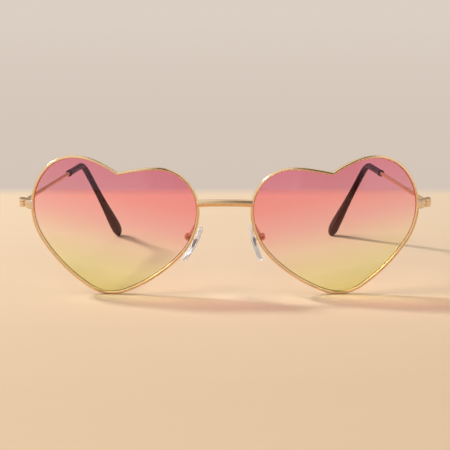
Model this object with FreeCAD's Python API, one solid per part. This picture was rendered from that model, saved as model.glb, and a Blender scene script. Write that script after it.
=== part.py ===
import FreeCAD, Part
import math
import os

from FreeCAD import Placement, Rotation, Vector

# Heart shaped sunglasses: wire rims, graded lenses, folding temples and rocking nose pads.
# Millimetres and degrees. X points to the wearer's left, Y to the back of the head, Z up.
# The glasses stand open on a table, with the origin on the table under the middle of their box.
# Every paired piece is made for the wearer's left side and mirrored for the right side.

# Rims and lenses. The heart is drawn flat and then wrapped onto the lens sphere.
heart_width = 60.35
heart_height = 50.0
rim_spacing = 18.15
lens_sphere_radius = 175.0
face_wrap_angle = 3.0
rim_width = 1.1
rim_depth = 2.0
rim_corner = 0.55
rim_lip_corner = 0.35
groove_depth = 0.5
groove_clearance = 0.03
lens_thickness = 1.0
lens_insert = 0.35
notch_bend_radius = 0.4

# Points of the heart's outline, as shares of its width from the nose outwards and of its height
outermost_shares = (1.000, 0.647)
outer_top_shares = (0.746, 1.000)
notch_shares = (0.482, 0.883)
inner_top_shares = (0.252, 0.918)
innermost_shares = (0.000, 0.607)
inner_flank_shares = (0.372, 0.051)
bottom_shares = (0.522, 0.000)
outer_flank_shares = (0.784, 0.172)

# Headings of the outline where it is neither upright nor level, turning round the heart
notch_entry_angle = 214.9
notch_exit_angle = 169.2
inner_flank_angle = -24.8
outer_flank_angle = 43.2

# Bridge
bridge_diameter = 2.6
bridge_above_nose_point = 2.5
bridge_arch = 0.3
bridge_forward = 0.35
bridge_end_round = 0.4

# End piece: an L of sheet over the front and the outer side of the closing block
end_width = 2.5
end_height = 2.8
end_overlap = 0.8
end_front = 1.85
end_back = 1.0
end_wall = 0.45
end_round = 0.28

# Closing block and its screw
lock_gap = 0.2
lock_bite = 0.25
lock_fit = 0.03
rim_screw_diameter = 0.7
rim_screw_head_diameter = 1.2
rim_screw_head_height = 0.35
rim_screw_end_gap = 0.3

# Hinge: two knuckles on the front leaf, one on the temple leaf
hinge_outboard = 3.4
hinge_behind = 2.6
knuckle_diameter = 2.4
temple_knuckle_diameter = 2.6
temple_knuckle_height = 0.95
knuckle_gap = 0.05
leaf_plate_thickness = 0.4
leaf_plate_front = 0.7
hinge_screw_diameter = 1.1
hinge_screw_head_diameter = 1.9
hinge_screw_head_height = 0.4
hinge_screw_tail = 0.2
running_clearance = 0.05

# Temple: leaf, wire and plastic tip
temple_inset_angle = 9.15
ear_distance = 96.0
tip_turn_angle = 58.0
tip_roll_angle = 18.0
ear_bend_radius = 9.0
wire_diameter = 1.4
ferrule_diameter = 2.0
ferrule_start = 1.6
ferrule_end = 5.0
ferrule_wall = 0.5
tongue_width = 1.4
glue_clearance = 0.02
tip_mouth_before_bend = 24.5
tip_neck_diameter = 2.4
tip_neck_after_bend = 1.5
tip_mouth_diameter = 2.6
tip_mouth_flare_length = 5.0
tip_hollow_diameter = 1.9
tip_hollow_depth = 1.2
paddle_width = 6.0
paddle_thickness = 3.8
paddle_cap_length = 4.2
paddle_swell_power = 1.6
wire_end_before_tip_end = 14.0

# Sections drawn along the paddle and round its end, points of each section, and the turn of the last one
swell_count = 8
cap_count = 6
oval_count = 12
cap_last_angle = 85.0

# Nose pads: arm, holder, screw, insert and pad
pad_pivot_spacing = 26.4
pad_pivot_behind = 5.6
pad_pivot_below_nose_point = 10.2
pad_arm_tilt = 22.8
left_pad_tilt = 16.6
right_pad_tilt = 29.0
pad_splay_angle = 2.0
pad_arm_diameter = 0.9
pad_arm_bend_radius = 1.3
pad_arm_root_share = 0.3
pad_box_diameter = 2.5
pad_box_length = 2.0
pad_box_pocket_width = 0.9
pad_box_wall = 0.4
pad_screw_diameter = 0.8
pad_screw_head_diameter = 1.5
pad_screw_head_height = 0.35
pad_eye_diameter = 1.5
pad_eye_thickness = 0.8
pad_stem_height = 0.9
pad_standoff = 3.2
pad_set_back = 1.0
pad_drop = 1.7
pad_length = 13.6
pad_width = 7.2
pad_thickness = 1.5
pad_bow_radius = 42.0
pad_edge_round = 0.6
pad_core_length = 3.0
pad_core_width = 2.0
pad_core_thickness = 0.4

# Screw heads, and the length by which every cutting shape overruns what it cuts
slot_width = 0.25
slot_depth = 0.2
overrun = 1.0

UP = Vector(0, 0, 1)
BACK = Vector(0, 1, 0)
OUTWARD = Vector(1, 0, 0)


# Plain shapes

def span(start, end):
    """A box between two opposite corners."""
    size = end - start
    return Part.makeBox(size.x, size.y, size.z, start)


def arc_points(start, corner, end):
    """Start, middle and end of the arc that touches the two equal lines start-corner and corner-end."""
    middle = (start + end) / 2
    half_chord = (end - start).Length / 2
    rise = corner - middle
    side = math.hypot(half_chord, rise.Length)
    return start, middle + rise * (half_chord / (side + half_chord)), end


def rounded_outline(corners):
    """A closed wire through (point, ease) corners, each rounded over its ease along both sides."""
    edges = []
    previous = None
    first = None
    for index, (corner, ease) in enumerate(corners):
        before = corners[index - 1][0]
        after = corners[(index + 1) % len(corners)][0]
        start = corner + (before - corner).normalize() * ease
        end = corner + (after - corner).normalize() * ease
        if previous is None:
            first = start
        else:
            edges.append(Part.LineSegment(previous, start).toShape())
        if ease > 0:
            edges.append(Part.Arc(*arc_points(start, corner, end)).toShape())
        previous = end
    edges.append(Part.LineSegment(previous, first).toShape())
    return Part.Wire(edges)


def bent_bar(points, section, bend_radius):
    """A bar of the given section through the points, with its corners bent to the radius."""
    edges = []
    at = points[0]
    for before, corner, after in zip(points, points[1:], points[2:]):
        way_in = (before - corner).normalize()
        way_out = (after - corner).normalize()
        reach = bend_radius / math.tan(way_in.getAngle(way_out) / 2)
        start = corner + way_in * reach
        end = corner + way_out * reach
        edges.append(Part.LineSegment(at, start).toShape())
        edges.append(Part.Arc(*arc_points(start, corner, end)).toShape())
        at = end
    edges.append(Part.LineSegment(at, points[-1]).toShape())
    return Part.Wire(edges).makePipeShell([section], True, False)


def bent_wire(points, diameter, bend_radius):
    """A round wire through the points."""
    circle = Part.makeCircle(diameter / 2, points[0], points[1] - points[0])
    return bent_bar(points, Part.Wire(circle), bend_radius)


def rod(start, direction, diameter, length):
    return Part.makeCylinder(diameter / 2, length, start, direction)


def slotted_screw(shank_diameter, shank_length, head_diameter, head_height):
    """A cheese-head screw along Z, with the underside of its head at zero."""
    head = rod(Vector(), UP, head_diameter, head_height)
    rim_edges = [edge for edge in head.Edges if edge.Closed and edge.CenterOfMass.z > head_height / 2]
    head = head.makeFillet(slot_depth / 2, rim_edges)
    slot_end = Vector(head_diameter, slot_width / 2, head_height + overrun)
    slot = span(Vector(-head_diameter, -slot_width / 2, head_height - slot_depth), slot_end)
    return head.fuse(rod(Vector(), -UP, shank_diameter, shank_length)).cut(slot)


# Heart outline

def heart_point(shares):
    across, up = shares
    return Vector(across * heart_width - heart_width / 2, 0, up * heart_height - heart_height / 2)


def heading(angle):
    turn = math.radians(angle)
    return Vector(math.cos(turn), 0, math.sin(turn))


def biarc(start, start_heading, end, end_heading):
    """Two arcs that leave start and reach end along their headings, and touch where they meet."""
    chord = end - start
    spread = 2 * (start_heading.dot(end_heading) - 1)
    progress = 2 * chord.dot(start_heading + end_heading)
    root = math.sqrt(progress ** 2 - 4 * spread * chord.dot(chord))
    reach = (progress - root) / (2 * spread)
    first_corner = start + start_heading * reach
    last_corner = end - end_heading * reach
    meeting = (first_corner + last_corner) / 2
    return [arc_points(start, first_corner, meeting), arc_points(meeting, last_corner, end)]


def heart_arcs():
    """The rim's outer edge, drawn flat, from the outermost point upwards and round past the nose."""
    level, upright = heading(0), heading(90)
    entry, leaving = heading(notch_entry_angle), heading(notch_exit_angle)
    notch = heart_point(notch_shares)
    notch_reach = notch_bend_radius * math.tan(entry.getAngle(leaving) / 2)
    notch_start = notch - entry * notch_reach
    notch_end = notch + leaving * notch_reach
    inner_flank = heading(inner_flank_angle)
    outer_flank = heading(outer_flank_angle)
    outermost = heart_point(outermost_shares)
    outer_top = heart_point(outer_top_shares)
    inner_top = heart_point(inner_top_shares)
    innermost = heart_point(innermost_shares)
    bottom = heart_point(bottom_shares)
    arcs = biarc(outermost, upright, outer_top, -level)
    arcs += biarc(outer_top, -level, notch_start, entry)
    arcs += [arc_points(notch_start, notch, notch_end)]
    arcs += biarc(notch_end, leaving, inner_top, -level)
    arcs += biarc(inner_top, -level, innermost, -upright)
    arcs += biarc(innermost, -upright, heart_point(inner_flank_shares), inner_flank)
    arcs += biarc(heart_point(inner_flank_shares), inner_flank, bottom, level)
    arcs += biarc(bottom, level, heart_point(outer_flank_shares), outer_flank)
    arcs += biarc(heart_point(outer_flank_shares), outer_flank, outermost, upright)
    return arcs


def on_sphere(flat):
    """Wraps a flat point onto the lens sphere by stereographic projection, which keeps circles round."""
    square = 4 * lens_sphere_radius ** 2
    share = square / (square + flat.dot(flat))
    return Vector(flat.x * share, 2 * lens_sphere_radius * (1 - share), flat.z * share)


sphere_centre = BACK * lens_sphere_radius
wrapped_arcs = [Part.Arc(*[on_sphere(point) for point in points]).toShape() for points in heart_arcs()]

# Place in that list of the arc that runs down from the innermost point, beside the nose
nose_arc_index = 9


def rim_frame(arc, parameter):
    """A point of the rim's outer edge, with the directions away from the lens and to the front."""
    point = arc.valueAt(parameter)
    front = (point - sphere_centre).normalize()
    away = arc.tangentAt(parameter).cross(front)
    return point, away, front


def turned(section, arc):
    """Carries a section along an arc from its start."""
    turn = math.degrees(arc.LastParameter - arc.FirstParameter)
    return section.revolve(arc.Curve.Center, arc.Curve.Axis, turn)


def heart_ring(section_corners):
    """Carries a section round the heart. Its corners are (away from the lens, to the front, ease)."""
    stretches = []
    for arc in wrapped_arcs:
        point, away, front = rim_frame(arc, arc.FirstParameter)
        corners = [(point + away * side + front * depth, ease) for side, depth, ease in section_corners]
        stretches.append(turned(Part.Face(rounded_outline(corners)), arc))
    return stretches[0].multiFuse(stretches[1:]).removeSplitter()


def flattened(arc, side):
    """The arc moved sideways on the sphere by side, and seen along the lens axis as a flat curve."""
    middle = (arc.FirstParameter + arc.LastParameter) / 2
    moved = []
    for parameter in (arc.FirstParameter, middle, arc.LastParameter):
        point, away, _ = rim_frame(arc, parameter)
        direction = (point + away * side - sphere_centre).normalize()
        moved.append(sphere_centre + direction * lens_sphere_radius)
    curve = Part.Arc(*moved).toBSpline()
    for index, pole in enumerate(curve.getPoles(), 1):
        curve.setPole(index, Vector(pole.x, -rim_depth, pole.z))
    return curve.toShape()


# Front: rims, lenses and bridge

wrap = Rotation(UP, face_wrap_angle)
nose_point = wrap.multVec(on_sphere(heart_point(innermost_shares)))
lens_place = Placement(Vector(rim_spacing / 2 - nose_point.x, 0, heart_height / 2), wrap)
nose_point = lens_place.multVec(on_sphere(heart_point(innermost_shares)))
rim_edge = lens_place.multVec(on_sphere(heart_point(outermost_shares)))


def placed(shape, placement):
    return shape.transformed(placement.toMatrix(), True)


def make_rim_blank():
    """The rim's wire before its groove is rolled, which is what the soldered pieces are shaped to."""
    half = rim_depth / 2
    corners = [(0, half, rim_corner), (-rim_width, half, rim_lip_corner)]
    corners += [(-rim_width, -half, rim_lip_corner), (0, -half, rim_corner)]
    return placed(heart_ring(corners), lens_place)


def make_rim(rim_blank):
    half = lens_thickness / 2 + groove_clearance
    floor = groove_depth - rim_width
    mouth = -rim_width - rim_lip_corner
    groove = heart_ring([(floor, half, 0), (mouth, half, 0), (mouth, -half, 0), (floor, -half, 0)])
    reach = Vector(rim_width + rim_corner, rim_depth, lock_gap / 2)
    split = span(rim_edge - reach, rim_edge + reach)
    return rim_blank.cut(placed(groove, lens_place)).cut(split)


def make_lens():
    edges = [flattened(arc, lens_insert - rim_width) for arc in wrapped_arcs]
    prism = Part.Face(Part.Wire(edges)).extrude(BACK * lens_sphere_radius)
    outer = Part.makeSphere(lens_sphere_radius + lens_thickness / 2, sphere_centre)
    inner = Part.makeSphere(lens_sphere_radius - lens_thickness / 2, sphere_centre)
    return placed(prism.common(outer).cut(inner), lens_place)


def make_bridge(left_blank, right_blank):
    """A gently arched bar whose ends lap over the front of both rims."""
    end = nose_point + Vector(rim_width, -bridge_forward, bridge_above_nose_point)
    start = Vector(-end.x, end.y, end.z)
    crown = Vector(0, end.y, end.z + bridge_arch)
    arc = Part.Arc(start, crown, end).toShape()
    circle = Part.makeCircle(bridge_diameter / 2, start, arc.tangentAt(arc.FirstParameter))
    bar = turned(Part.Face(Part.Wire(circle)), arc)
    rounds = [edge for edge in bar.Edges if edge.Closed and abs(edge.CenterOfMass.x) > end.x - rim_width]
    return bar.makeFillet(bridge_end_round, rounds).cut(left_blank).cut(right_blank)


# End piece and closing block

end_inner = rim_edge.x - end_overlap
end_outer = end_inner + end_width
wall_back = rim_edge.y - end_front + end_wall
rim_screw_point = Vector((rim_edge.x + end_outer - end_wall) / 2, rim_edge.y, rim_edge.z)


def make_end_piece(rim_blank):
    half = UP * (end_height / 2)
    front_corner = Vector(end_inner, rim_edge.y - end_front, rim_edge.z)
    back_corner = Vector(end_outer, rim_edge.y + end_back, rim_edge.z)
    block = span(front_corner - half, back_corner + half)
    block = block.makeFillet(end_round, block.Edges)
    room = Vector(overrun, -end_wall, overrun)
    pocket_end = back_corner + half + Vector(-end_wall, overrun, overrun)
    return block.cut(span(front_corner - half - room, pocket_end)).cut(rim_blank)


def make_rim_lock(rim_blank, level):
    """One half of the closing block: level is 1 for the upper half, which holds the screw's thread."""
    near = rim_edge.z + level * lock_gap / 2
    far = rim_edge.z + level * end_height / 2
    outer = end_outer - end_wall - lock_fit
    start = Vector(rim_edge.x - lock_bite, wall_back + lock_fit, min(near, far))
    block = span(start, Vector(outer, rim_edge.y + end_back, max(near, far)))
    hole_start = Vector(rim_screw_point.x, rim_screw_point.y, rim_edge.z - end_height)
    hole_length = end_height * 3 / 2 - rim_screw_end_gap + lock_fit
    hole = rod(hole_start, UP, rim_screw_diameter + 2 * lock_fit, hole_length)
    return block.cut(hole).cut(rim_blank)


def make_rim_screw():
    """The closing screw, put in from below, with its head under the lower half of the block."""
    length = end_height - rim_screw_end_gap
    screw = slotted_screw(rim_screw_diameter, length, rim_screw_head_diameter, rim_screw_head_height)
    head_seat = rim_screw_point - UP * (end_height / 2)
    return placed(screw, Placement(head_seat, Rotation(OUTWARD, 180)))


# Hinge

hinge_point = Vector(rim_edge.x + hinge_outboard, rim_edge.y + hinge_behind, rim_edge.z)
pin_hole_diameter = hinge_screw_diameter + 2 * running_clearance


def make_hinge_front():
    """Plate on the side of the end piece, with a web to the upper and to the lower knuckle."""
    half = UP * (end_height / 2)
    back = rim_edge.y + end_back - end_round
    front = back - leaf_plate_front
    plate_start = Vector(end_outer, front, rim_edge.z)
    plate_end = Vector(end_outer + leaf_plate_thickness, back, rim_edge.z)
    leaf = span(plate_start - half, plate_end + half)
    root = Vector(end_outer, (front + back) / 2, rim_edge.z)
    across = UP.cross((hinge_point - root).normalize()) * (knuckle_diameter / 2)
    web_corners = [plate_start, hinge_point, hinge_point + across, Vector(end_outer, back, rim_edge.z)]
    low = temple_knuckle_height / 2 + knuckle_gap
    height = end_height / 2 - low
    for bottom in (low, -end_height / 2):
        lift = UP * bottom
        web = Part.Face(Part.makePolygon([corner + lift for corner in web_corners + web_corners[:1]]))
        leaf = leaf.fuse(web.extrude(UP * height))
        leaf = leaf.fuse(rod(hinge_point + lift, UP, knuckle_diameter, height))
    hole = rod(hinge_point - UP * end_height, UP, pin_hole_diameter, 2 * end_height)
    room_diameter = temple_knuckle_diameter + 2 * running_clearance
    room = rod(hinge_point - UP * low, UP, room_diameter, 2 * low)
    return leaf.cut(hole).cut(room).removeSplitter()


def make_hinge_screw():
    length = end_height + hinge_screw_tail
    screw = slotted_screw(hinge_screw_diameter, length, hinge_screw_head_diameter, hinge_screw_head_height)
    return placed(screw, Placement(hinge_point + UP * (end_height / 2), Rotation()))


# Temple, drawn with the hinge axis at zero and its wire along Y, then set to its inset angle

temple_place = Placement(hinge_point, Rotation(UP, temple_inset_angle))
tip_roll = math.radians(tip_roll_angle)
tip_turn = math.radians(tip_turn_angle)
tip_down = Vector(-math.sin(tip_roll), 0, -math.cos(tip_roll))
tip_side = Vector(math.cos(tip_roll), 0, -math.sin(tip_roll))
tip_along = BACK * math.cos(tip_turn) + tip_down * math.sin(tip_turn)
tip_across = BACK * math.sin(tip_turn) - tip_down * math.cos(tip_turn)
ear_point = BACK * ear_distance
neck_reach = ear_bend_radius * math.tan(tip_turn / 2) + tip_neck_after_bend


def tip_length(table_drop):
    """Length from the ear bend to the middle of the rounded end, whose lowest point is on the table."""
    width = paddle_width / 2 * tip_across.z
    thickness = paddle_thickness / 2 * tip_side.z
    cap = paddle_cap_length * tip_along.z
    return (table_drop - math.sqrt(width ** 2 + thickness ** 2 + cap ** 2)) / -tip_along.z


def make_temple_hinge():
    """Middle knuckle, a tongue between the front knuckles, and a ferrule that takes the wire."""
    half = UP * (temple_knuckle_height / 2)
    leaf = rod(-half, UP, temple_knuckle_diameter, temple_knuckle_height)
    tongue_start = OUTWARD * (-tongue_width / 2) - half
    tongue = span(tongue_start, OUTWARD * (tongue_width / 2) + BACK * (ferrule_start + ferrule_wall) + half)
    ferrule = rod(BACK * ferrule_start, BACK, ferrule_diameter, ferrule_end - ferrule_start)
    ferrule = ferrule.makeFillet(ferrule_wall / 2, [edge for edge in ferrule.Edges if edge.Closed][:1])
    leaf = leaf.fuse(tongue).fuse(ferrule)
    leaf = leaf.cut(rod(-half * 2, UP, pin_hole_diameter, 2 * temple_knuckle_height))
    socket_start = BACK * (ferrule_start + ferrule_wall)
    socket = rod(socket_start, BACK, wire_diameter + 2 * glue_clearance, ferrule_end)
    return leaf.cut(socket)


def make_temple_wire(length):
    start = BACK * (ferrule_start + ferrule_wall)
    end = ear_point + tip_along * (length - wire_end_before_tip_end)
    return bent_wire([start, ear_point, end], wire_diameter, ear_bend_radius)


def oval(centre, width_direction, side_direction, width, thickness):
    """A smooth closed oval through points at even turns."""
    points = []
    for index in range(oval_count):
        turn = 2 * math.pi * index / oval_count
        across = width_direction * (width / 2 * math.cos(turn))
        points.append(centre + across + side_direction * (thickness / 2 * math.sin(turn)))
    curve = Part.BSplineCurve()
    curve.interpolate(points, PeriodicFlag=True)
    return Part.Wire(curve.toShape())


def paddle_section(along, growth, shrink):
    """Section of the tip behind the ear bend: growth is 0 at the neck and 1 at the paddle."""
    width = tip_neck_diameter + growth * (paddle_width - tip_neck_diameter)
    thickness = tip_neck_diameter + growth * (paddle_thickness - tip_neck_diameter)
    return oval(ear_point + tip_along * along, tip_across, tip_side, width * shrink, thickness * shrink)


def make_paddle(length):
    """The tip swells late from its neck to its paddle, and closes in a rounded end."""
    swelling = []
    for index in range(swell_count + 1):
        share = index / swell_count
        along = neck_reach + share * (length - neck_reach)
        swelling.append(paddle_section(along, (1 - math.cos(math.pi * share ** paddle_swell_power)) / 2, 1))
    closing = []
    for index in range(cap_count + 1):
        turn = math.radians(cap_last_angle) * index / cap_count
        closing.append(paddle_section(length + paddle_cap_length * math.sin(turn), 1, math.cos(turn)))
    return Part.makeLoft(swelling, True, False).fuse(Part.makeLoft(closing, True, False))


def make_temple_tip(length):
    """Plastic sleeve with a flared mouth, a bore for the wire and a wider hollow at its mouth."""
    mouth = BACK * (ear_distance - tip_mouth_before_bend)
    flare_end = mouth + BACK * tip_mouth_flare_length
    mouth_section = oval(mouth, -tip_down, tip_side, tip_mouth_diameter, tip_mouth_diameter)
    neck_section = oval(flare_end, -tip_down, tip_side, tip_neck_diameter, tip_neck_diameter)
    sleeve = Part.makeLoft([mouth_section, neck_section], True, True)
    neck_end = ear_point + tip_along * neck_reach
    sleeve = sleeve.fuse(bent_bar([flare_end, ear_point, neck_end], neck_section, ear_bend_radius))
    sleeve = sleeve.fuse(make_paddle(length))
    wire_end = ear_point + tip_along * (length - wire_end_before_tip_end)
    bore_start = mouth - BACK * overrun
    bore = bent_wire([bore_start, ear_point, wire_end], wire_diameter + 2 * glue_clearance, ear_bend_radius)
    hollow = rod(bore_start, BACK, tip_hollow_diameter, tip_hollow_depth + overrun)
    return sleeve.cut(bore).cut(hollow)


# Nose pad, drawn with the screw along Y through zero and the pad upright on the nose side

pad_pivot = Vector(pad_pivot_spacing / 2, pad_pivot_behind, nose_point.z - pad_pivot_below_nose_point)
pad_eye_hole = pad_screw_diameter + 2 * running_clearance


def pad_place(tilt):
    return Placement(pad_pivot, Rotation(BACK, -tilt))


def make_pad_box():
    """Round holder with a pocket for the pad's eye, open towards the nose and below."""
    half = pad_box_length / 2
    box = rod(BACK * -half, BACK, pad_box_diameter, pad_box_length)
    wall = pad_box_diameter / 2 - pad_box_wall
    pocket_start = Vector(-pad_box_diameter, -pad_box_pocket_width / 2, -pad_box_diameter)
    box = box.cut(span(pocket_start, Vector(wall, pad_box_pocket_width / 2, wall)))
    hole = rod(BACK * -pad_box_length, BACK, pad_screw_diameter + 2 * glue_clearance, 2 * pad_box_length)
    return placed(box.cut(hole), pad_place(pad_arm_tilt))


def make_pad_screw():
    length = pad_box_length
    screw = slotted_screw(pad_screw_diameter, length, pad_screw_head_diameter, pad_screw_head_height)
    head_seat = Placement(BACK * (-pad_box_length / 2), Rotation(OUTWARD, 90))
    return placed(placed(screw, head_seat), pad_place(pad_arm_tilt))


def make_pad_arm(rim_blank, pad_box):
    """Wire soldered to the back of the rim, bent down to the top of the pad's holder."""
    arc = wrapped_arcs[nose_arc_index]
    parameter = arc.FirstParameter + pad_arm_root_share * (arc.LastParameter - arc.FirstParameter)
    point, away, _ = rim_frame(arc, parameter)
    root = lens_place.multVec(point - away * (rim_width / 2))
    corner = Vector(root.x, pad_pivot.y, root.z)
    top = pad_pivot + (corner - pad_pivot).normalize() * (pad_box_diameter / 2 - pad_box_wall / 2)
    arm = bent_wire([root, corner, top], pad_arm_diameter, pad_arm_bend_radius)
    return arm.cut(rim_blank).cut(pad_box)


def make_pad_core():
    """Insert of the pad: a plate moulded in, a stem and the eye on the screw."""
    half_eye = BACK * (pad_eye_thickness / 2)
    eye = rod(-half_eye, BACK, pad_eye_diameter, pad_eye_thickness)
    stem_half = half_eye + UP * (pad_stem_height / 2)
    stem = span(OUTWARD * -pad_standoff - stem_half, stem_half)
    middle = Vector(-pad_standoff, pad_set_back / 2, -pad_drop / 2)
    plate_half = Vector(pad_core_thickness, pad_core_width, pad_core_length) / 2
    core = eye.fuse(stem).fuse(span(middle - plate_half, middle + plate_half))
    return core.cut(rod(BACK * -pad_box_length, BACK, pad_eye_hole, 2 * pad_box_length)).removeSplitter()


def make_nose_pad(pad_core):
    """Clear oval pad, bowed towards the nose and moulded round its insert."""
    centre = Vector(-pad_standoff, pad_set_back, -pad_drop)
    outline = Part.Ellipse(centre + UP * (pad_length / 2), centre + BACK * (pad_width / 2), centre)
    prism = Part.Face(Part.Wire(outline.toShape())).extrude(OUTWARD * (2 * pad_length))
    prism.translate(OUTWARD * -pad_length)
    axis_start = centre + OUTWARD * pad_bow_radius - BACK * pad_width
    outer = rod(axis_start, BACK, 2 * pad_bow_radius + pad_thickness, 2 * pad_width)
    inner = rod(axis_start, BACK, 2 * pad_bow_radius - pad_thickness, 2 * pad_width)
    pad = prism.common(outer).cut(inner)
    pad = pad.makeFillet(pad_edge_round, [edge for edge in pad.Edges if edge.Length > pad_length])
    pad.rotate(centre, UP, -pad_splay_angle)
    return pad.cut(pad_core)


# Assembly

def mirrored(shape):
    return shape.mirror(Vector(), OUTWARD)


left_blank = make_rim_blank()
rim = make_rim(left_blank)
table_level = rim.optimalBoundingBox(False, False).ZMin
length = tip_length(hinge_point.z - table_level)
pad_box = make_pad_box()
core = make_pad_core()
pad = make_nose_pad(core)

paired = {
    "rim": rim,
    "lens": make_lens(),
    "end_piece": make_end_piece(left_blank),
    "rim_lock_upper": make_rim_lock(left_blank, 1),
    "rim_lock_lower": make_rim_lock(left_blank, -1),
    "rim_screw": make_rim_screw(),
    "hinge_front": make_hinge_front(),
    "hinge_screw": make_hinge_screw(),
    "temple_hinge": placed(make_temple_hinge(), temple_place),
    "temple_wire": placed(make_temple_wire(length), temple_place),
    "temple_tip": placed(make_temple_tip(length), temple_place),
    "pad_arm": make_pad_arm(left_blank, pad_box),
    "pad_box": pad_box,
    "pad_screw": make_pad_screw(),
}
nodes = {"bridge": make_bridge(left_blank, mirrored(left_blank))}
for name, shape in paired.items():
    nodes["left_" + name] = shape
    nodes["right_" + name] = mirrored(shape)
for side, tilt in (("left", left_pad_tilt), ("right", right_pad_tilt)):
    for name, shape in (("pad_core", core), ("nose_pad", pad)):
        tilted = placed(shape, pad_place(tilt))
        nodes[side + "_" + name] = tilted if side == "left" else mirrored(tilted)

box = Part.makeCompound(list(nodes.values())).optimalBoundingBox(False, False)
to_table = Vector(0, -(box.YMin + box.YMax) / 2, -table_level)

os.makedirs("parts", exist_ok=True)
for name, shape in nodes.items():
    shape.translate(to_table)
    shape.exportStep("parts/" + name + ".step")

print("hinge axis of the left temple", hinge_point + to_table)
print("screw axis of the left pad", pad_pivot + to_table)
print("box", box.XLength, box.YLength, box.ZLength)
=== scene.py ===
import math

import bpy
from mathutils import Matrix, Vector


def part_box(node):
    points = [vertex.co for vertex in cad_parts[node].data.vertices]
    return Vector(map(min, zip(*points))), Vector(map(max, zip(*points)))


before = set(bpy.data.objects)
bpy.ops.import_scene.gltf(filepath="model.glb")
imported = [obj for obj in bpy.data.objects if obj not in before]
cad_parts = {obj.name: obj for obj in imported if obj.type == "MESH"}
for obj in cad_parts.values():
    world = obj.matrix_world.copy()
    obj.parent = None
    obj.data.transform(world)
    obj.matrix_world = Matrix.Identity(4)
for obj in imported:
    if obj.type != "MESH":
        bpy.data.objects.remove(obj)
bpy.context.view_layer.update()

# Heart shaped sunglasses standing open on a table. Metres; the lenses face -Y and Z is up.

# Camera: where the photograph was taken from, and the angle that its square frame spans
CAMERA_PLACE = Vector((0.0, -0.7875, 0.1517))
CAMERA_DOWN_ANGLE = 9.87
CAMERA_VIEW_ANGLE = 12.33

# Tabletop: where its painted brightening starts, its far edge, its colours near and far, the far one
# brighter as painted light, and its faint grain
TABLE_NEAR = -0.20
TABLE_EDGE = 0.176
TABLE_EDGE_SOFTNESS = 0.024
TABLE_COLOURS_WITH_PAINTED_LIGHT = ((0.85, 0.62, 0.41), (0.98, 0.76, 0.53))
TABLE_GRAIN_COLOUR = (0.45, 0.28, 0.15)
TABLE_GRAIN_SHARE = 0.06
TABLE_GRAIN_STRETCH = (1.0, 6.0, 1.0)

# Room beyond the table: its colours, near and far, how deep it is, and how wide the stage is
ROOM_COLOURS = ((0.655, 0.562, 0.484), (0.715, 0.622, 0.545))
ROOM_DEPTH = 1.1
STAGE_SIZE = 8.0

# Lamps: name, place, width, power in watts, colour, and whether the metal mirrors the lamp
LAMPS = (
    ("window", (-2.92, 1.71, 2.79), 0.65, 148.0, (1.0, 0.98, 0.95), True),
    ("ceiling", (-0.9, -0.3, 1.4), 1.0, 8.8, (1.0, 0.98, 0.96), False),
    ("front", (0.0, -1.5, 0.9), 0.7, 3.8, (1.0, 0.98, 0.96), False),
    ("far_window", (0.1, -2.6, 0.06), 0.36, 0.08, (1.0, 1.0, 1.0), True),
)
LAMP_TARGET = Vector((0.0, 0.0, 0.02))

# Light of the room: by height, bright walls under a dim ceiling, and dim where the camera stands.
# The share of it that is left beside the glasses, and how fast that share grows to the back
ROOM_LIGHTS = (
    (0.00, (0.66, 0.65, 0.62)),
    (0.22, (0.58, 0.57, 0.55)),
    (0.42, (0.18, 0.18, 0.17)),
    (0.75, (0.06, 0.06, 0.06)),
)
ROOM_DIM = (0.10, 0.095, 0.09)
ROOM_SHARE_BESIDE = 0.7
ROOM_SHARE_GROWTH = 0.9

# Walls that show in the metal and the lenses: their light, and the directions in which they start and end.
# The left wall reaches a little past the middle, and the back wall is brighter at its top
SIDE_WALL_LIGHT = (0.98, 1.02, 1.15)
BACK_WALL_LIGHTS = ((0.34, 0.30, 0.26), (0.90, 0.90, 0.92))
RIGHT_WALL_START = 0.25
LEFT_WALL_START = -0.02
SIDE_WALL_END = 0.6
BACK_WALL_START = 0.0
BACK_TOP_START = 0.45
WALL_SOFTNESS = 0.05

# Tones of the plating, on the drawn wires, and on the stamped blocks and hinges, where it is paler as a
# painted reflection of bright light on their faces
WIRE_GOLD = ((0.86, 0.61, 0.35), (0.80, 0.54, 0.28))
BLOCK_GOLD_PAINTED_PALE = ((0.91, 0.78, 0.60), (0.86, 0.70, 0.51))

# Tones of the screws, darker partly as painted shade of their screw holes, of the pads and of the inserts
# in the pads
SCREW_TONES_WITH_PAINTED_SHADE = ((0.54, 0.43, 0.30), (0.38, 0.29, 0.19))
PAD_TONES = ((0.97, 0.98, 1.00), (0.90, 0.93, 0.98))
CORE_TONES = ((0.95, 0.93, 0.91), (0.80, 0.78, 0.76))

# Lens tint by height in the heart, from its bottom to its top, as the light that it lets through,
# and how much lower a shade of the tint lies for each metre outwards
LENS_TINTS = (
    (0.04, (0.80, 0.83, 0.46)),
    (0.17, (0.92, 0.96, 0.64)),
    (0.36, (0.98, 0.86, 0.78)),
    (0.54, (0.98, 0.58, 0.66)),
    (0.72, (0.98, 0.43, 0.51)),
    (0.95, (0.98, 0.34, 0.46)),
)
TINT_LEAN = 0.2

# Lamp light that comes through the lenses, low and high in the heart, the height over which it changes,
# and lamp light that comes through the pads
LOW_LENS_LIGHT = (0.54, 0.49, 0.34)
HIGH_LENS_LIGHT = (0.62, 0.38, 0.42)
LENS_LIGHT_START = 0.22
LENS_LIGHT_SPAN = 0.50
PAD_LIGHT = (0.89, 0.925, 0.97)

# Colour of the temple tips, from the thick end on the table up to the ear bend
TIP_TONES = (
    (0.10, (0.056, 0.017, 0.011)),
    (0.45, (0.034, 0.010, 0.006)),
    (0.85, (0.016, 0.005, 0.004)),
)

# How strongly the clear plastic of the lenses and pads bends light
CLEAR_IOR = 1.33

SIDES = ("left", "right")


# Shader maths

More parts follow.
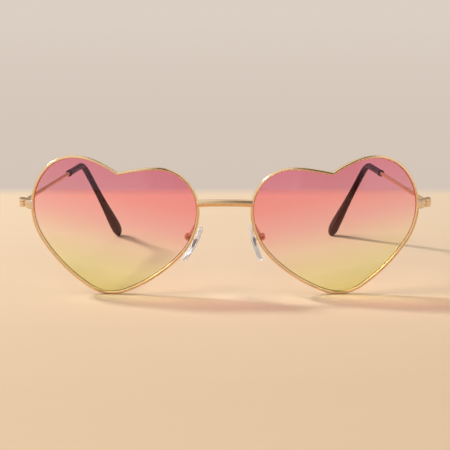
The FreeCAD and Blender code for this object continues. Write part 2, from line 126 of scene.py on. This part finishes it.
class Signal:
    """A socket of a finish. Sums on it add Math nodes."""

    def __init__(self, finish, socket):
        self.finish = finish
        self.socket = socket

    def maths(self, operation, first, second):
        return self.finish.add("Math", {"operation": operation}, {0: first, 1: second})

    def __add__(self, other):
        return self.maths("ADD", self, other)

    def __radd__(self, other):
        return self.maths("ADD", other, self)

    def __sub__(self, other):
        return self.maths("SUBTRACT", self, other)

    def __rsub__(self, other):
        return self.maths("SUBTRACT", other, self)

    def __mul__(self, other):
        return self.maths("MULTIPLY", self, other)

    def __rmul__(self, other):
        return self.maths("MULTIPLY", other, self)

    def __truediv__(self, other):
        return self.maths("DIVIDE", self, other)


class Finish:
    """A material, or the room's light, and the nodes that it is made of."""

    def __init__(self, owner):
        self.owner = owner
        owner.use_nodes = True
        self.tree = owner.node_tree
        self.tree.nodes.clear()

    def add(self, kind, settings, sockets, output=0):
        """Adds a node, sets it, feeds its sockets and returns one of its outputs."""
        node = self.tree.nodes.new("ShaderNode" + kind)
        for name, value in settings.items():
            if name == "stops":
                set_stops(node.color_ramp, value)
            else:
                setattr(node, name, value)
        for name, value in sockets.items():
            if isinstance(value, Signal):
                self.tree.links.new(value.socket, node.inputs[name])
            else:
                node.inputs[name].default_value = value
        return Signal(self, node.outputs[output]) if node.outputs else None

    def place(self):
        """The point of the surface, in metres."""
        return self.add("TexCoord", {}, {}, "Object")

    def part_of(self, vector, axis):
        return self.add("SeparateXYZ", {}, {"Vector": vector}, axis)

    def stretched_place(self, stretch):
        return self.add("Mapping", {}, {"Vector": self.place(), "Scale": stretch})

    def noise(self, vector, grains, detail=3.0):
        """Soft noise about a half, with the given number of grains to a metre."""
        return self.add("TexNoise", {}, {"Vector": vector, "Scale": grains, "Detail": detail}, "Fac")

    def clamp(self, value):
        """The value, kept between 0 and 1."""
        return self.add("Clamp", {}, {"Value": value})

    def ramp(self, value, stops):
        return self.add("ValToRGB", {"stops": stops}, {"Fac": value}, "Color")

    def mix(self, share, first, second):
        """A colour between two colours."""
        return self.add("Mix", {"data_type": "RGBA"}, {0: share, 6: first, 7: second}, 2)

    def between(self, share, tones):
        """A colour between the two tones of a pair."""
        return self.mix(share, opaque(tones[0]), opaque(tones[1]))

    def bump(self, height, strength, distance):
        return self.add("Bump", {}, {"Height": height, "Strength": strength, "Distance": distance})

    def surface(self, sockets):
        return self.add("BsdfPrincipled", {}, sockets)

    def blend(self, share, first, second):
        """A surface between two surfaces."""
        return self.add("MixShader", {}, {0: share, 1: first, 2: second})

    def clear_light(self, colour):
        """A surface that only colours what comes through it."""
        return self.add("BsdfTransparent", {}, {"Color": opaque(colour)})

    def lit_through(self, shader, light):
        """A surface that lets lamp light through as the second surface does."""
        return self.blend(self.add("LightPath", {}, {}, "Is Shadow Ray"), shader, light)

    def finished(self, shader):
        self.add("OutputMaterial", {}, {"Surface": shader})
        return self.owner


def opaque(colour):
    return (*colour, 1.0)


def set_stops(ramp, stops):
    while len(ramp.elements) < len(stops):
        ramp.elements.new(1.0)
    for element, (position, colour) in zip(ramp.elements, stops):
        element.position = position
        element.color = opaque(colour)


# Finishes

def new_finish(name):
    return Finish(bpy.data.materials.new(name))


def gold_finish(name, tones, stretch, roughness):
    """Polished plating: it drifts between two tones, and fine polishing lines run across the stretch."""
    finish = new_finish(name)
    drift = finish.noise(finish.place(), grains=160.0)
    lines = finish.noise(finish.stretched_place(stretch), grains=2600.0, detail=4.0)
    return finish.finished(finish.surface({
        "Base Color": finish.between(drift, tones),
        "Metallic": 1.0,
        "Roughness": roughness + 0.10 * lines * drift,
        "Normal": finish.bump(lines, strength=0.06, distance=0.00002),
    }))


def lens_finish(side, outward):
    """Clear plastic, dyed from yellow at the bottom over peach to rose at the top, with its shades lying
    lower towards the outside.
    """
    finish = new_finish(side + "_lens_dye")
    low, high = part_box(side + "_lens")
    lean = TINT_LEAN * outward * (finish.part_of(finish.place(), "X") - (low.x + high.x) / 2)
    level = (finish.part_of(finish.place(), "Z") - low.z - lean) / (high.z - low.z)
    cloud = finish.noise(finish.place(), grains=60.0)
    clear = finish.surface({
        "Base Color": finish.ramp(level + 0.02 * (cloud - 0.5), LENS_TINTS),
        "Roughness": 0.01 + 0.01 * cloud,
        "IOR": CLEAR_IOR,
        "Transmission Weight": 1.0,
    })
    upper = finish.clamp((level - LENS_LIGHT_START) / LENS_LIGHT_SPAN)
    light = finish.blend(upper, finish.clear_light(LOW_LENS_LIGHT), finish.clear_light(HIGH_LENS_LIGHT))
    return finish.finished(finish.lit_through(clear, light))


def tip_finish():
    """Smooth dark plastic, browner towards its thick end, with the faint orange peel of a moulding."""
    finish = new_finish("tip_brown")
    mottle = finish.noise(finish.place(), grains=220.0)
    peel = finish.noise(finish.place(), grains=1500.0, detail=2.0)
    low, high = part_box("left_temple_tip")
    height = (finish.part_of(finish.place(), "Z") - low.z) / (high.z - low.z)
    return finish.finished(finish.surface({
        "Base Color": finish.ramp(height + 0.2 * (mottle - 0.5), TIP_TONES),
        "Roughness": 0.30 + 0.14 * mottle,
        "Specular IOR Level": 0.15,
        "Normal": finish.bump(peel, strength=0.08, distance=0.00005),
    }))


def pad_finish():
    """Soft clear plastic, slightly milky, with a clouded skin."""
    finish = new_finish("pad_clear")
    cloud = finish.noise(finish.place(), grains=400.0)
    milky = finish.surface({
        "Base Color": finish.between(cloud, PAD_TONES),
        "Roughness": 0.10 + 0.12 * cloud,
        "IOR": CLEAR_IOR,
        "Transmission Weight": 0.72,
        "Normal": finish.bump(cloud, strength=0.05, distance=0.0001),
    })
    return finish.finished(finish.lit_through(milky, finish.clear_light(PAD_LIGHT)))


def core_finish():
    """Pale satin insert inside the clear pad."""
    finish = new_finish("core_satin")
    mottle = finish.noise(finish.place(), grains=700.0)
    return finish.finished(finish.surface({
        "Base Color": finish.between(mottle, CORE_TONES),
        "Metallic": 0.2,
        "Roughness": 0.34 + 0.14 * mottle,
        "Normal": finish.bump(mottle, strength=0.10, distance=0.00004),
    }))


def screw_finish():
    """Turned metal, duller than the plating, and darker partly as painted shade of the screw holes."""
    finish = new_finish("screw_turned")
    mottle = finish.noise(finish.place(), grains=900.0)
    rings = finish.noise(finish.stretched_place((1.0, 1.0, 6.0)), grains=3000.0, detail=2.0)
    return finish.finished(finish.surface({
        # painted shade: the screws' darker tone partly stands in for the shade in their holes
        "Base Color": finish.between(mottle, SCREW_TONES_WITH_PAINTED_SHADE),
        "Metallic": 1.0,
        "Roughness": 0.22 + 0.16 * rings,
        "Normal": finish.bump(rings, strength=0.10, distance=0.00003),
    }))


def table_finish():
    """Pale tabletop, brighter towards its far edge with painted light, and the pale room beyond, which
    glows softly.
    """
    finish = new_finish("stage_pale")
    depth = finish.part_of(finish.place(), "Y")
    # painted light: the tabletop's colour grows brighter towards its far edge
    distance = finish.clamp((depth - TABLE_NEAR) / (TABLE_EDGE - TABLE_NEAR))
    grain = finish.noise(finish.stretched_place(TABLE_GRAIN_STRETCH), grains=12.0)
    painted_lit_table = finish.between(distance, TABLE_COLOURS_WITH_PAINTED_LIGHT)
    table = finish.surface({
        "Base Color": finish.mix(TABLE_GRAIN_SHARE * grain, painted_lit_table, opaque(TABLE_GRAIN_COLOUR)),
        "Roughness": 0.6,
        "Specular IOR Level": 0.3,
    })
    beyond = finish.clamp((depth - TABLE_EDGE) / ROOM_DEPTH)
    room = finish.add("Emission", {}, {"Color": finish.between(beyond, ROOM_COLOURS), "Strength": 1.0})
    past_edge = finish.clamp((depth - TABLE_EDGE) / TABLE_EDGE_SOFTNESS + 0.5)
    return finish.finished(finish.blend(past_edge, table, room))


def dress(names, finish):
    """Gives the named nodes one finish."""
    for name in names:
        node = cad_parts[name]
        node.data.materials.clear()
        node.data.materials.append(finish)


def paired(*names):
    return [side + "_" + name for side in SIDES for name in names]


def dress_glasses():
    dress(["bridge"], gold_finish("bridge_gold", WIRE_GOLD, (0.05, 1.0, 1.0), roughness=0.15))
    dress(paired("rim"), gold_finish("rim_gold", WIRE_GOLD, (1.0, 0.3, 1.0), roughness=0.15))
    dress(paired("temple_wire"), gold_finish("wire_gold", WIRE_GOLD, (1.0, 0.05, 1.0), roughness=0.30))
    dress(paired("pad_arm", "pad_box"), gold_finish("pad_gold", WIRE_GOLD, (1.0, 1.0, 0.4), roughness=0.14))
    # painted reflection: the blocks and hinges get a paler plating tone in place of the bright light on
    # their faces
    dress(paired("end_piece", "hinge_front", "temple_hinge", "rim_lock_upper", "rim_lock_lower"),
          gold_finish("block_gold_painted_sheen", BLOCK_GOLD_PAINTED_PALE, (1.0, 1.0, 0.2), roughness=0.16))
    dress(["left_lens"], lens_finish("left", outward=1.0))
    dress(["right_lens"], lens_finish("right", outward=-1.0))
    dress(paired("temple_tip"), tip_finish())
    dress(paired("nose_pad"), pad_finish())
    dress(paired("pad_core"), core_finish())
    dress(paired("rim_screw", "hinge_screw", "pad_screw"), screw_finish())


# Stage, lamps and camera

def make_stage():
    half = STAGE_SIZE / 2
    corners = [(-half, -half, 0), (half, -half, 0), (half, half, 0), (-half, half, 0)]
    mesh = bpy.data.meshes.new("stage")
    mesh.from_pydata(corners, [], [(0, 1, 2, 3)])
    mesh.materials.append(table_finish())
    stage = bpy.data.objects.new("stage", mesh)
    bpy.context.scene.collection.objects.link(stage)


def add_lamp(name, place, width, power, colour, mirrored):
    """A round lamp aimed at the glasses. One that isn't mirrored lights the metal without showing in it."""
    data = bpy.data.lights.new(name, "AREA")
    data.shape = "DISK"
    data.size = width
    data.energy = power
    data.color = colour
    lamp = bpy.data.objects.new(name, data)
    lamp.visible_camera = False
    lamp.visible_glossy = mirrored
    lamp.location = place
    lamp.rotation_euler = (LAMP_TARGET - Vector(place)).to_track_quat("-Z", "Y").to_euler()
    bpy.context.scene.collection.objects.link(lamp)


def make_lamps():
    for lamp in LAMPS:
        add_lamp(*lamp)


def make_world():
    """Soft light by height. Mirrored rays see a dim room with bright walls at its sides and back."""
    room = Finish(bpy.data.worlds.new("room"))
    direction = room.add("TexCoord", {}, {}, "Generated")
    across, depth, height = (room.part_of(direction, axis) for axis in "XYZ")
    behind = room.clamp(ROOM_SHARE_BESIDE + ROOM_SHARE_GROWTH * depth)
    light = room.mix(behind, opaque(ROOM_DIM), room.ramp(height, ROOM_LIGHTS))
    right_wall = room.clamp((across - RIGHT_WALL_START) / WALL_SOFTNESS)
    left_wall = room.clamp((-1.0 * across - LEFT_WALL_START) / WALL_SOFTNESS)
    beside = room.clamp((SIDE_WALL_END - depth) / WALL_SOFTNESS)
    back_wall = room.clamp((depth - BACK_WALL_START) / WALL_SOFTNESS)
    back_top = room.clamp((height - BACK_TOP_START) / WALL_SOFTNESS)
    back = room.mix(back_wall, opaque(ROOM_DIM), room.between(back_top, BACK_WALL_LIGHTS))
    shown = room.mix((right_wall + left_wall) * beside, back, opaque(SIDE_WALL_LIGHT))
    mirrored = room.add("LightPath", {}, {}, "Is Glossy Ray")
    glow = room.mix(mirrored, light, shown)
    room.add("OutputWorld", {}, {"Surface": room.add("Background", {}, {"Color": glow, "Strength": 1.0})})
    bpy.context.scene.world = room.owner


def make_camera():
    data = bpy.data.cameras.new("camera")
    data.angle = math.radians(CAMERA_VIEW_ANGLE)
    camera = bpy.data.objects.new("camera", data)
    camera.location = CAMERA_PLACE
    camera.rotation_euler = (math.radians(90 - CAMERA_DOWN_ANGLE), 0.0, 0.0)
    bpy.context.scene.collection.objects.link(camera)
    bpy.context.scene.camera = camera


make_camera()
make_world()
make_lamps()
make_stage()
dress_glasses()

bpy.context.scene.view_settings.view_transform = "Standard"
